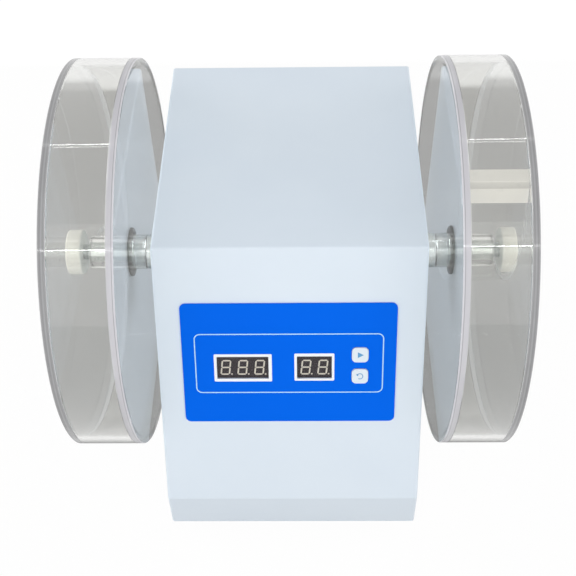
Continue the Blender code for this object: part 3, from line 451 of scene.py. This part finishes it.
for side, sign in SIDES.items():
    start, seam = reach(f"drum_back_plate_{side}")
    ring_end = reach(f"drum_ring_{side}")[1]
    ring_inner = drum_radius - acrylic_sheet
    shell = [(start, shaft_bore), (start, drum_radius - plate_chamfer),
             (start + plate_chamfer, drum_radius), (seam, drum_radius),
             (seam + weld_groove, drum_radius - weld_groove),
             (seam + 2 * weld_groove, drum_radius), (ring_end, drum_radius),
             (ring_end, ring_inner), (seam, ring_inner), (seam, shaft_bore)]
    mesh = turned(f"drum_shell_{side}", shell, drum_steps, sign)
    new_piece(f"drum_shell_{side}", mesh, ring_acrylic, "rotor", "clear_acrylic",
              f"drum_back_plate_{side}", f"drum_ring_{side}")
    mesh.materials.append(plate_acrylic.material)
    mesh.materials.append(plate_rim.material)
    for face in mesh.polygons:
        if abs(face.center.x) < seam + weld_groove / 2:
            face.material_index = 2 if on_rim(face) else 1

    start, end = reach(f"drum_lid_{side}")
    disc = [(start, stud_bore), (start, drum_radius - plate_chamfer),
            (start + plate_chamfer, drum_radius), (end - plate_chamfer, drum_radius),
            (end, drum_radius - plate_chamfer), (end, stud_bore)]
    mesh = turned(f"lid_plate_{side}", disc, drum_steps, sign)
    new_piece(f"lid_plate_{side}", mesh, lid_acrylic, f"lid_{side}", "clear_acrylic",
              f"drum_lid_{side}")
    mesh.materials.append(lid_rim.material)
    for face in mesh.polygons:
        face.material_index = int(on_rim(face))

    start, end = reach(f"drum_hub_{side}")
    tube_radius = round_radius(f"drum_hub_{side}")
    tube = [(start, shaft_bore), (start, tube_radius - tube_chamfer),
            (start + tube_chamfer, tube_radius), (end - tube_chamfer, tube_radius),
            (end, tube_radius - tube_chamfer), (end, shaft_bore)]
    new_piece(f"hub_tube_{side}", turned(f"hub_tube_{side}", tube, tube_steps, sign),
              ring_acrylic, "rotor", "clear_acrylic", f"drum_hub_{side}")

# The baffle that lifts the tablets is bent from thin clear strip with sawn edges, and cemented in.
# The root of the right one, where it meets the ring, is milky in bands; the left one's root is
# clear.
root_start = 0.1346
root_end = 0.1430
root_share = 0.94
root_shades = ((0.0, colour(243, 241, 237)), (0.62, colour(243, 241, 237)),
               (0.64, colour(210, 208, 205)), (0.88, colour(226, 224, 221)),
               (0.92, colour(247, 245, 242)), (1.0, colour(247, 245, 242)))
sawn_share = 0.28
sawn_faces_sideways = 0.5
strip_bend = 1.15
strip_thin = 0.95
baffle_tint = (0.98, 0.98, 0.975, 1.0)
baffle_cloud = (0.96, 0.96, 0.955, 1.0)


def strip(name, milky_root):
    """Thin clear strip with matt sawn edges; milky_root is the share of milkiness in its root."""
    finish = acrylic(name, baffle_tint, baffle_cloud, strip_bend, strip_thin)
    y, z = finish.axes()[1:]
    across_shaft, above_shaft = y - shaft_y, z - shaft_z
    off_shaft = (across_shaft * across_shaft + above_shaft * above_shaft) ** 0.5
    bands = finish.node("ShaderNodeValToRGB", [(off_shaft - root_start) / (root_end - root_start)],
                        stops=root_shades)
    normal = finish.node("ShaderNodeNewGeometry", output="Normal")
    sideways = finish.node("ShaderNodeSeparateXYZ", [normal])
    sawn = (abs(sideways) > sawn_faces_sideways) * sawn_share
    milk = finish.node("ShaderNodeBsdfPrincipled", {
        "Base Color": bands, "Roughness": 0.2 + finish.noise(200, 2) * 0.2, "IOR": acrylic_bend})
    finish.lay(((off_shaft > root_start) * milky_root).or_more(sawn), milk)
    return finish


dress(strip("baffle_acrylic", root_share), "drum_baffle_right")
dress(strip("left_baffle_acrylic", 0.0), "drum_baffle_left")

# The shaft line: flanges turned from bright steel bar carry the drums, in black rubber seals that
# snap into the side walls. The ground shaft turns in two ball bearings and is threaded at each end.
steel = Finish("turned_steel", {"Metallic": 1.0})
turning = steel.noise(420, 2, (6, 0.15, 0.15))
steel.feed("Base Color", steel.mixed(turning, colour(176, 183, 182), colour(212, 216, 214)))
steel.feed("Roughness", 0.14 + turning * 0.16)
dress(steel, "bearing_left", "bearing_right")
rubber = mottled("seal_rubber", {"IOR": 1.5}, (colour(30, 30, 33), colour(42, 42, 45)),
                 patch=(200, 3), rough=0.55, grain=(500, 2), spread=0.2)
rubber.bumped(rubber.noise(1500, 2), strength=0.2, distance=0.0001)

collar_radius = 0.0135
collar_chamfer = 0.0005
groove_place = 0.4
groove_width = 0.0010
groove_depth = 0.0006
seal_bore = 0.0139
seal_neck = 0.0165
seal_lip = 0.0190
seal_lip_width = 0.0020
seal_round = 0.0006
shoulder_end = 0.0712
shoulder_radius = 0.0100
journal_end = 0.0818
journal_radius = 0.0085
shaft_radius = 0.0075
stud_start = 0.1552
shaft_end = 0.1697
stud_radius = 0.0060
stud_chamfer = 0.0010
thread_pitch = 0.0020
thread_depth = 0.0007
thread_flank = 1.25
thread_rows = 10

for side, sign in SIDES.items():
    near, far = reach(f"drive_flange_{side}")
    groove = near + groove_place * (far - near)
    groove_floor = collar_radius - groove_depth
    collar = [(near, shaft_bore), (near, collar_radius - collar_chamfer),
              (near + collar_chamfer, collar_radius), (groove, collar_radius),
              (groove + groove_depth, groove_floor), (groove + groove_width, groove_floor),
              (groove + groove_width + groove_depth, collar_radius),
              (far - collar_chamfer, collar_radius), (far, collar_radius - collar_chamfer),
              (far, shaft_bore)]
    new_piece(f"flange_{side}", turned(f"flange_{side}", collar, tube_steps, sign),
              steel, "rotor", "bright_steel", f"drive_flange_{side}")

    near, far = reach(f"shaft_seal_{side}")
    lip = [(near, seal_bore), (near, seal_neck), (far - seal_lip_width, seal_neck),
           (far - seal_lip_width, seal_lip), (far - seal_round, seal_lip),
           (far - seal_round / 3, seal_lip - seal_round / 3), (far, seal_lip - seal_round),
           (far, seal_bore)]
    new_piece(f"seal_{side}", turned(f"seal_{side}", lip, tube_steps, sign),
              rubber, "housing", "dark_rubber", f"shaft_seal_{side}")

half_shaft = [(shoulder_end, shoulder_radius), (shoulder_end, journal_radius),
              (journal_end, journal_radius), (journal_end, shaft_radius),
              (stud_start, shaft_radius), (stud_start, 0)]
whole_shaft = [(-along, radius) for along, radius in half_shaft[::-1]] + half_shaft
new_piece("shaft", turned("shaft", whole_shaft, tube_steps, closed=False),
          steel, "rotor", "bright_steel", "main_shaft")

for side, sign in SIDES.items():
    shape = bmesh.new()
    rows = []
    count = round((shaft_end - stud_start) / thread_pitch * thread_rows)
    for index in range(count + 1):
        along = stud_start + (shaft_end - stud_start) * index / count
        tapered = stud_radius - stud_chamfer + (shaft_end - along)
        radii = []
        for step in range(tube_steps):
            phase = (along / thread_pitch - sign * step / tube_steps) % 1
            cut = max(0, 1 - thread_flank * abs(2 * phase - 1))
            radii.append(min(stud_radius - thread_depth * cut, tapered))
        rows.append(ring_of_points(shape, sign * along, radii))
    skin(shape, rows)
    shape.faces.new(rows[0])
    shape.faces.new(rows[-1])
    new_piece(f"stud_{side}", as_mesh(f"stud_{side}", shape), steel, "rotor", "bright_steel")

# The feet are moulded of the same black rubber as the seals, as plain discs, and sit under the
# corners of the base plate.
dress(rubber, "foot_front_left", "foot_front_right", "foot_rear_left", "foot_rear_right")

# The lock nuts are turned from cream nylon bar, with a rounded rim and a turned recess in the face.
# Each has a blind bore that screws onto the shaft's stud, and clamps its lid to the drum.
nylon = mottled("cream_nylon", {"IOR": 1.52}, (colour(251, 248, 233), colour(255, 253, 241)),
                patch=(90, 3), rough=0.38, grain=(700, 2, (5, 1, 1)), spread=0.14)
nut_round = 0.0014
nut_recess = 0.0012
nut_land = 0.0030
nut_bore = 0.0064
nut_floor = 0.0024
nut_steps = 96
round_steps = 5
for side, sign in SIDES.items():
    near, far = reach(f"lock_nut_{side}")
    radius = round_radius(f"lock_nut_{side}")
    profile = [(far - nut_floor, 0), (far - nut_floor, nut_bore), (near, nut_bore)]
    for centre, start in ((near + nut_round, 180), (far - nut_round, 90)):
        for step in range(round_steps + 1):
            turn = math.radians(start - 90 * step / round_steps)
            profile.append((centre + nut_round * math.cos(turn),
                            radius - nut_round + nut_round * math.sin(turn)))
    profile += [(far, radius - nut_land), (far - nut_recess, radius - nut_land - nut_recess),
                (far - nut_recess, 0)]
    new_piece(f"nut_{side}", turned(f"nut_{side}", profile, nut_steps, sign), nylon,
              f"nut_{side}", "cream_nylon", f"lock_nut_{side}")

# The control panel is a printed polyester film with a fine satin grain, stuck on the sloping front.
# A thin pale line runs round the controls and a white frame round each display window.
brow = Vector((0, -0.05725, 0.2385))
slope_down = Vector((0, -0.40675, -0.91354))
slope_out = Vector((0, -0.91354, 0.40675))
film_top = 0.0011
ink = 0.00006
line_width = 0.0008
line_corner = 0.0045
line_corner_steps = 8
line_edges = (-0.0705, 0.0668, 0.0681, 0.1162)
frame_corner = 0.0008
opening_corner = 0.0004
frame_corner_steps = 4
window_frames = {
    "count_frame": ((-0.0565, 0.0836, -0.0139, 0.1064), (-0.0545, 0.0858, -0.0163, 0.1041)),
    "speed_frame": ((0.0027, 0.0832, 0.03205, 0.1059), (0.00455, 0.0856, 0.03025, 0.1041))}


def printing_ink(name, first, second):
    return mottled(name, {"Specular IOR Level": 0.2}, (first, second),
                   patch=(300, 2), rough=0.45, grain=(900, 2), spread=0.1)


film = mottled("blue_film", {"Specular IOR Level": 0.05},
               (colour(0, 100, 232), colour(0, 106, 240)),
               patch=(8, 2), rough=0.42, grain=(900, 2), spread=0.1)
film.bumped(film.noise(2500, 1), strength=0.08, distance=0.00005)
dress(film, "membrane_panel")
line_ink = printing_ink("pale_ink", colour(176, 222, 246), colour(196, 232, 250))
frame_ink = printing_ink("white_ink", colour(240, 243, 247), colour(248, 250, 252))


def on_slope(across, down, out):
    return brow + Vector((across, 0, 0)) + slope_down * down + slope_out * out


def soft_corners(edges, radius, steps, inset=0.0):
    """Points of a rectangle with rounded corners, as (across, down) from the brow."""
    left, top, right, bottom = edges
    left, top, right, bottom = left + inset, top + inset, right - inset, bottom - inset
    points = []
    for across, down, start in (
            (right - radius, top + radius, -90), (right - radius, bottom - radius, 0),
            (left + radius, bottom - radius, 90), (left + radius, top + radius, 180)):
        for step in range(steps + 1):
            turn = math.radians(start + 90 * step / steps)
            points.append((across + radius * math.cos(turn), down + radius * math.sin(turn)))
    return points


def printed(name, patches, low, high, spot=on_slope):
    """A mesh of thin raised patches; each is an outline, or an outline and its hole."""
    shape = bmesh.new()
    for outline, hole in patches:
        walls = []
        for points in (outline, hole):
            if points:
                walls.append([[shape.verts.new(spot(x, y, out)) for x, y in points]
                              for out in (low, high)])
                skin(shape, walls[-1])
        if hole:
            outer, inner = walls
            skin(shape, [outer[0], inner[0]])
            skin(shape, [outer[1], inner[1]])
        else:
            shape.faces.new(walls[0][0])
            shape.faces.new(walls[0][1])
    return as_mesh(name, shape)


line = (soft_corners(line_edges, line_corner, line_corner_steps),
        soft_corners(line_edges, line_corner - line_width, line_corner_steps, line_width))
new_piece("panel_line", printed("panel_line", [line], film_top, film_top + ink),
          line_ink, "housing", "blue_film")
for name, (outside, opening) in window_frames.items():
    patch = (soft_corners(outside, frame_corner, frame_corner_steps),
             soft_corners(opening, opening_corner, frame_corner_steps))
    new_piece(name, printed(name, [patch], film_top, film_top + ink),
              frame_ink, "housing", "blue_film")

# Behind each smoked window sits a display module of black resin, whose seven-segment bars are
# cream light guides, moulded in slanted.
resin = mottled("display_resin", {"IOR": 1.5}, (colour(44, 38, 42), colour(52, 46, 50)),
                patch=(400, 2), rough=0.35, grain=(900, 2), spread=0.15)
dress(resin, "count_digits", "speed_digits")
pane = mottled("smoked_pane", {"Alpha": 0.08, "IOR": 1.49},
               (colour(52, 46, 50), colour(60, 54, 58)),
               patch=(20, 2), rough=0.05, grain=(200, 2), spread=0.05)
dress(pane, "count_window", "speed_window")
guide = mottled("segment_guide", {"IOR": 1.5}, (colour(232, 226, 210), colour(242, 236, 222)),
                patch=(500, 2), rough=0.4, grain=(900, 2), spread=0.1)

digit_top = 0.0889
digit_height = 0.0124
digit_width = 0.0072
digit_pitch = 0.01245
digit_slant = 0.0014
bar = 0.0011
bar_gap = 0.00018
bar_rise = 0.0001
point_gap = 0.0013
point_radius = 0.0006
point_steps = 16


def circle(across, down, radius, steps):
    return [(across + radius * math.cos(2 * math.pi * step / steps),
             down + radius * math.sin(2 * math.pi * step / steps)) for step in range(steps)]


def digit_bars(centre, top):
    """The seven bars and the point of one digit, as slanted outlines on the slope."""
    left, right = centre - digit_width / 2, centre + digit_width / 2
    middle, bottom = top + digit_height / 2, top + digit_height
    half = bar / 2
    outlines = []
    for down in (top + half, middle, bottom - half):
        start, end = left + half + bar_gap, right - half - bar_gap
        outlines.append([(start, down), (start + half, down - half), (end - half, down - half),
                         (end, down), (end - half, down + half), (start + half, down + half)])
    for across in (left + half, right - half):
        for start, end in ((top + half + bar_gap, middle - bar_gap),
                           (middle + bar_gap, bottom - half - bar_gap)):
            outlines.append([(across, start), (across + half, start + half),
                             (across + half, end - half), (across, end),
                             (across - half, end - half), (across - half, start + half)])
    outlines.append(circle(right + point_gap, bottom - point_radius, point_radius, point_steps))
    return [[(x + digit_slant * (middle - y) / digit_height, y) for x, y in outline]
            for outline in outlines]


for name, count in (("count", 3), ("speed", 2)):
    window_low, window_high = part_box(f"{name}_window")
    centre = (window_low.x + window_high.x) / 2
    bars = [(outline, None) for index in range(count)
            for outline in digit_bars(centre + (index - (count - 1) / 2) * digit_pitch, digit_top)]
    new_piece(f"{name}_segments", printed(f"{name}_segments", bars, 0.0, bar_rise),
              guide, "housing", "black_plastic")

# The two keys are pale moulded caps that stand a little proud of the film and press into it.
# Each has a printed sign, a triangle for start and a turning arrow for reset.
cap_plastic = mottled("key_plastic", {"IOR": 1.5}, (colour(222, 231, 241), colour(230, 238, 246)),
                      patch=(120, 2), rough=0.35, grain=(900, 2), spread=0.12)
dress(cap_plastic, "start_key", "reset_key")
sign_ink = printing_ink("sign_ink", colour(96, 158, 206), colour(112, 170, 214))
key_face = 0.0019
key_across = 0.0509
start_down = 0.0843
reset_down = 0.1020
triangle = ((-0.0018, -0.0024), (0.0026, 0.0), (-0.0018, 0.0024))
arc_outer = 0.0025
arc_inner = 0.0019
arc_start = -60
arc_end = 210
arc_step = 15
arrow_head = ((-0.0011, -0.0002), (0.0009, -0.0012), (0.0006, 0.0011))


def on_arc(radius, turn):
    """A point of the reset sign's arc, by its turn from straight up in degrees."""
    return (key_across + radius * math.sin(math.radians(turn)),
            reset_down - radius * math.cos(math.radians(turn)))


start_sign = [(key_across + x, start_down + y) for x, y in triangle]
new_piece("start_sign", printed("start_sign", [(start_sign, None)], key_face, key_face + ink),
          sign_ink, "start_key", "key_white")
turns = range(arc_start, arc_end + 1, arc_step)
arc = [on_arc(arc_outer, turn) for turn in turns]
arc += [on_arc(arc_inner, turn) for turn in reversed(turns)]
head_x, head_y = on_arc((arc_outer + arc_inner) / 2, arc_start)
arrow = [(head_x + x, head_y + y) for x, y in arrow_head]
reset_sign = [(arc, None), (arrow, None)]
new_piece("reset_sign", printed("reset_sign", reset_sign, key_face, key_face + ink),
          sign_ink, "reset_key", "key_white")

# The rear panel is held by six zinc-plated pan-head screws with a crossed recess. The inlet's
# flange has two countersunk ones, and in its mouth stand three nickel-plated pins.
panel_face = 0.14345
panel_screw_aside = 0.089
panel_screw_heights = (0.0225, 0.1250, 0.2275)
inlet_x, inlet_face, inlet_z = 0.045, 0.14595, 0.0634
ear_aside = 0.0201
first_twist = 17
next_twist = 31
head_rings = 9
head_steps = 40
dome_power = 2.6
edge_rise = 0.0001
edge_sink = 0.0004
cross_reach = 0.56
cross_half = 0.15
weld_below = 0.000001
pin_places = ((-0.007, 0.0044), (0, 0.0024), (0.007, 0.0044))
pin_outline = ((0.1279, 0.00105, 0.00205), (0.1383, 0.00105, 0.00205),
               (0.1394, 0.00080, 0.00180), (0.1398, 0.00045, 0.00130))

screw_zinc = mottled("screw_zinc", {"Metallic": 1.0},
                     (colour(176, 180, 184), colour(206, 208, 210)),
                     patch=(600, 2), rough=0.24, grain=(1500, 2), spread=0.18)
screw_black = mottled("screw_black", {"Metallic": 0.6},
                      (colour(38, 38, 40), colour(56, 56, 58)),
                      patch=(600, 2), rough=0.3, grain=(1500, 2), spread=0.2)
pin_nickel = mottled("pin_nickel", {"Metallic": 1.0},
                     (colour(196, 194, 186), colour(220, 218, 210)),
                     patch=(400, 2), rough=0.16, grain=(900, 2), spread=0.12)


def screw_heads(name, places, seat, radius, dome, depth):
    """Domed heads on a wall that faces the rear, each with a crossed recess and its own turn."""
    shape = bmesh.new()
    for index, (across, up) in enumerate(places):
        twist = math.radians(first_twist + next_twist * index)
        rows = []
        for ring in range(head_rings + 1):
            share = ring / head_rings
            row = []
            for step in range(head_steps):
                turn = 2 * math.pi * step / head_steps
                x, z = abs(share * math.cos(turn)), abs(share * math.sin(turn))
                out = dome * (1 - share ** dome_power) + edge_rise
                if max(x, z) < cross_reach and min(x, z) < cross_half:
                    out -= depth * (1 - share)
                row.append(shape.verts.new((across + radius * share * math.cos(turn + twist),
                                            seat + out,
                                            up + radius * share * math.sin(turn + twist))))
            rows.append(row)
        rows.append([shape.verts.new((vert.co.x, seat - edge_sink, vert.co.z))
                     for vert in rows[-1]])
        skin(shape, rows)
        shape.faces.new(rows[-1])
    bmesh.ops.remove_doubles(shape, verts=shape.verts, dist=weld_below)
    return as_mesh(name, shape)


panel_screws = [(sign * panel_screw_aside, up) for sign in (-1, 1) for up in panel_screw_heights]
mesh = screw_heads("rear_screws", panel_screws, panel_face, radius=0.0030, dome=0.0015, depth=0.0011)
new_piece("rear_screws", mesh, screw_zinc, "housing", "zinc_steel")
ears = [(inlet_x + sign * ear_aside, inlet_z) for sign in (-1, 1)]
mesh = screw_heads("inlet_screws", ears, inlet_face, radius=0.0027, dome=0.0003, depth=0.0007)
new_piece("inlet_screws", mesh, screw_black, "housing", "black_plastic")

shape = bmesh.new()
for across, rise in pin_places:
    rows = [[shape.verts.new((inlet_x + across + x * half_x, along, inlet_z + rise + z * half_z))
             for x, z in ((-1, -1), (1, -1), (1, 1), (-1, 1))]
            for along, half_x, half_z in pin_outline]
    skin(shape, rows)
    shape.faces.new(rows[0])
    shape.faces.new(rows[-1])
new_piece("inlet_pins", as_mesh("inlet_pins", shape), pin_nickel, "housing", "bright_steel")

# The rocker is a black moulding that snaps into its frame beside the inlet and tips on its pivot.
# A bar is printed on its upper half and a ring on its lower half.
mark_ink = mottled("mark_ink", {"Specular IOR Level": 0.3},
                   (colour(226, 226, 224), colour(240, 240, 238)),
                   patch=(500, 2), rough=0.4, grain=(900, 2), spread=0.15)
rocker_x, rocker_z = -0.004, 0.0634
mark_rise = 0.0040
mark_sink = -0.0001
bar_half_width = 0.0003
bar_half_height = 0.0015
ring_mark_outer = 0.0016
ring_mark_inner = 0.0011
ring_mark_steps = 32
beyond_rear = 0.2
rocker_mesh = nodes["power_rocker"].data
rocker_faces = BVHTree.FromPolygons([vert.co for vert in rocker_mesh.vertices],
                                    [face.vertices for face in rocker_mesh.polygons])


def on_rocker(across, up, out):
    """A point on the rocker's outer face, found by looking at it from behind the tester."""
    struck = rocker_faces.ray_cast(Vector((across, beyond_rear, up)), Vector((0, -1, 0)))[0]
    return Vector((across, struck.y + out, up))


bar_mark = [(rocker_x + x * bar_half_width, rocker_z + mark_rise + y * bar_half_height)
            for x, y in ((-1, -1), (1, -1), (1, 1), (-1, 1))]
ring_mark = [circle(rocker_x, rocker_z - mark_rise, radius, ring_mark_steps)
             for radius in (ring_mark_outer, ring_mark_inner)]
marks = [(bar_mark, None), ring_mark]
new_piece("rocker_marks", printed("rocker_marks", marks, mark_sink, ink, on_rocker),
          mark_ink, "power_rocker", "black_plastic")

# The works inside: zinc-plated plates and brackets, a cast gearbox with a grey motor, brass gears,
# a sawn disc with its light gate, green boards with their parts and a laminated transformer.
motor_cap_end = -0.058
control_laminate_top = 0.0220
front_laminate_top = -0.0082
core_half = 0.0131
transformer_y = 0.092
chip_tones = (colour(40, 40, 44), colour(70, 70, 74))
laminate_tones = (colour(22, 92, 52), colour(34, 112, 66))


def plain(name, first, second, rough, metallic, scale, stretch=None):
    """A mottled finish for the works; its grain is six times as fine as its patches."""
    return mottled(name, {"Metallic": metallic, "IOR": 1.5}, (first, second),
                   patch=(scale, 3, stretch), rough=rough, grain=(scale * 6, 2), spread=0.15)


def two_tone(finish, share, first, second, scale):
    """Where the share is one, the finish takes another mottled tone."""
    other = finish.mixed(finish.noise(scale, 2), first, second)
    finish.feed("Base Color", finish.mixed(share, finish.tone, other))
    return finish


dress(plain("zinc_plate", colour(196, 200, 204), colour(214, 216, 218),
            rough=0.28, metallic=1.0, scale=90),
      "base_plate", "bearing_upright_left", "bearing_upright_right", "motor_bracket",
      "sensor_bracket")
dress(plain("cast_case", colour(150, 152, 154), colour(172, 174, 176),
            rough=0.42, metallic=1.0, scale=300), "gearbox")
motor_paint = plain("motor_paint", colour(84, 88, 94), colour(98, 102, 108),
                    rough=0.35, metallic=0.0, scale=120)
motor_cap = motor_paint.axes()[0] < motor_cap_end
dress(two_tone(motor_paint, motor_cap, colour(140, 142, 144), colour(160, 162, 164), scale=200),
      "motor")
dress(plain("gear_brass", colour(196, 160, 92), colour(214, 180, 112),
            rough=0.22, metallic=1.0, scale=200),
      "drive_gear", "pinion")
dress(steel, "output_shaft")
dress(plain("black_moulding", colour(34, 34, 36), colour(48, 48, 50),
            rough=0.34, metallic=0.0, scale=200),
      "photo_sensor", "start_switch", "reset_switch", "rocker_frame", "power_rocker",
      "mains_inlet", "fuse_drawer")
dress(plain("disc_phenolic", colour(40, 36, 34), colour(56, 50, 46),
            rough=0.45, metallic=0.0, scale=260), "encoder_disc")

control_laminate = plain("control_laminate", *laminate_tones, rough=0.3, metallic=0.0, scale=260)
parts_above = control_laminate.axes()[2] > control_laminate_top
dress(two_tone(control_laminate, parts_above, *chip_tones, scale=90), "control_board")
front_laminate = plain("front_laminate", *laminate_tones, rough=0.3, metallic=0.0, scale=260)
y, z = front_laminate.axes()[1:]
outward = (y - brow.y) * slope_out.y + (z - brow.z) * slope_out.z
dress(two_tone(front_laminate, outward > front_laminate_top, *chip_tones, scale=90), "front_board")

core = plain("core_laminations", colour(70, 66, 64), colour(110, 104, 98),
             rough=0.4, metallic=0.0, scale=30, stretch=(1, 60, 1))
winding = abs(core.axes()[1] - transformer_y) > core_half
dress(two_tone(core, winding, colour(196, 150, 52), colour(214, 172, 76), scale=120), "transformer")
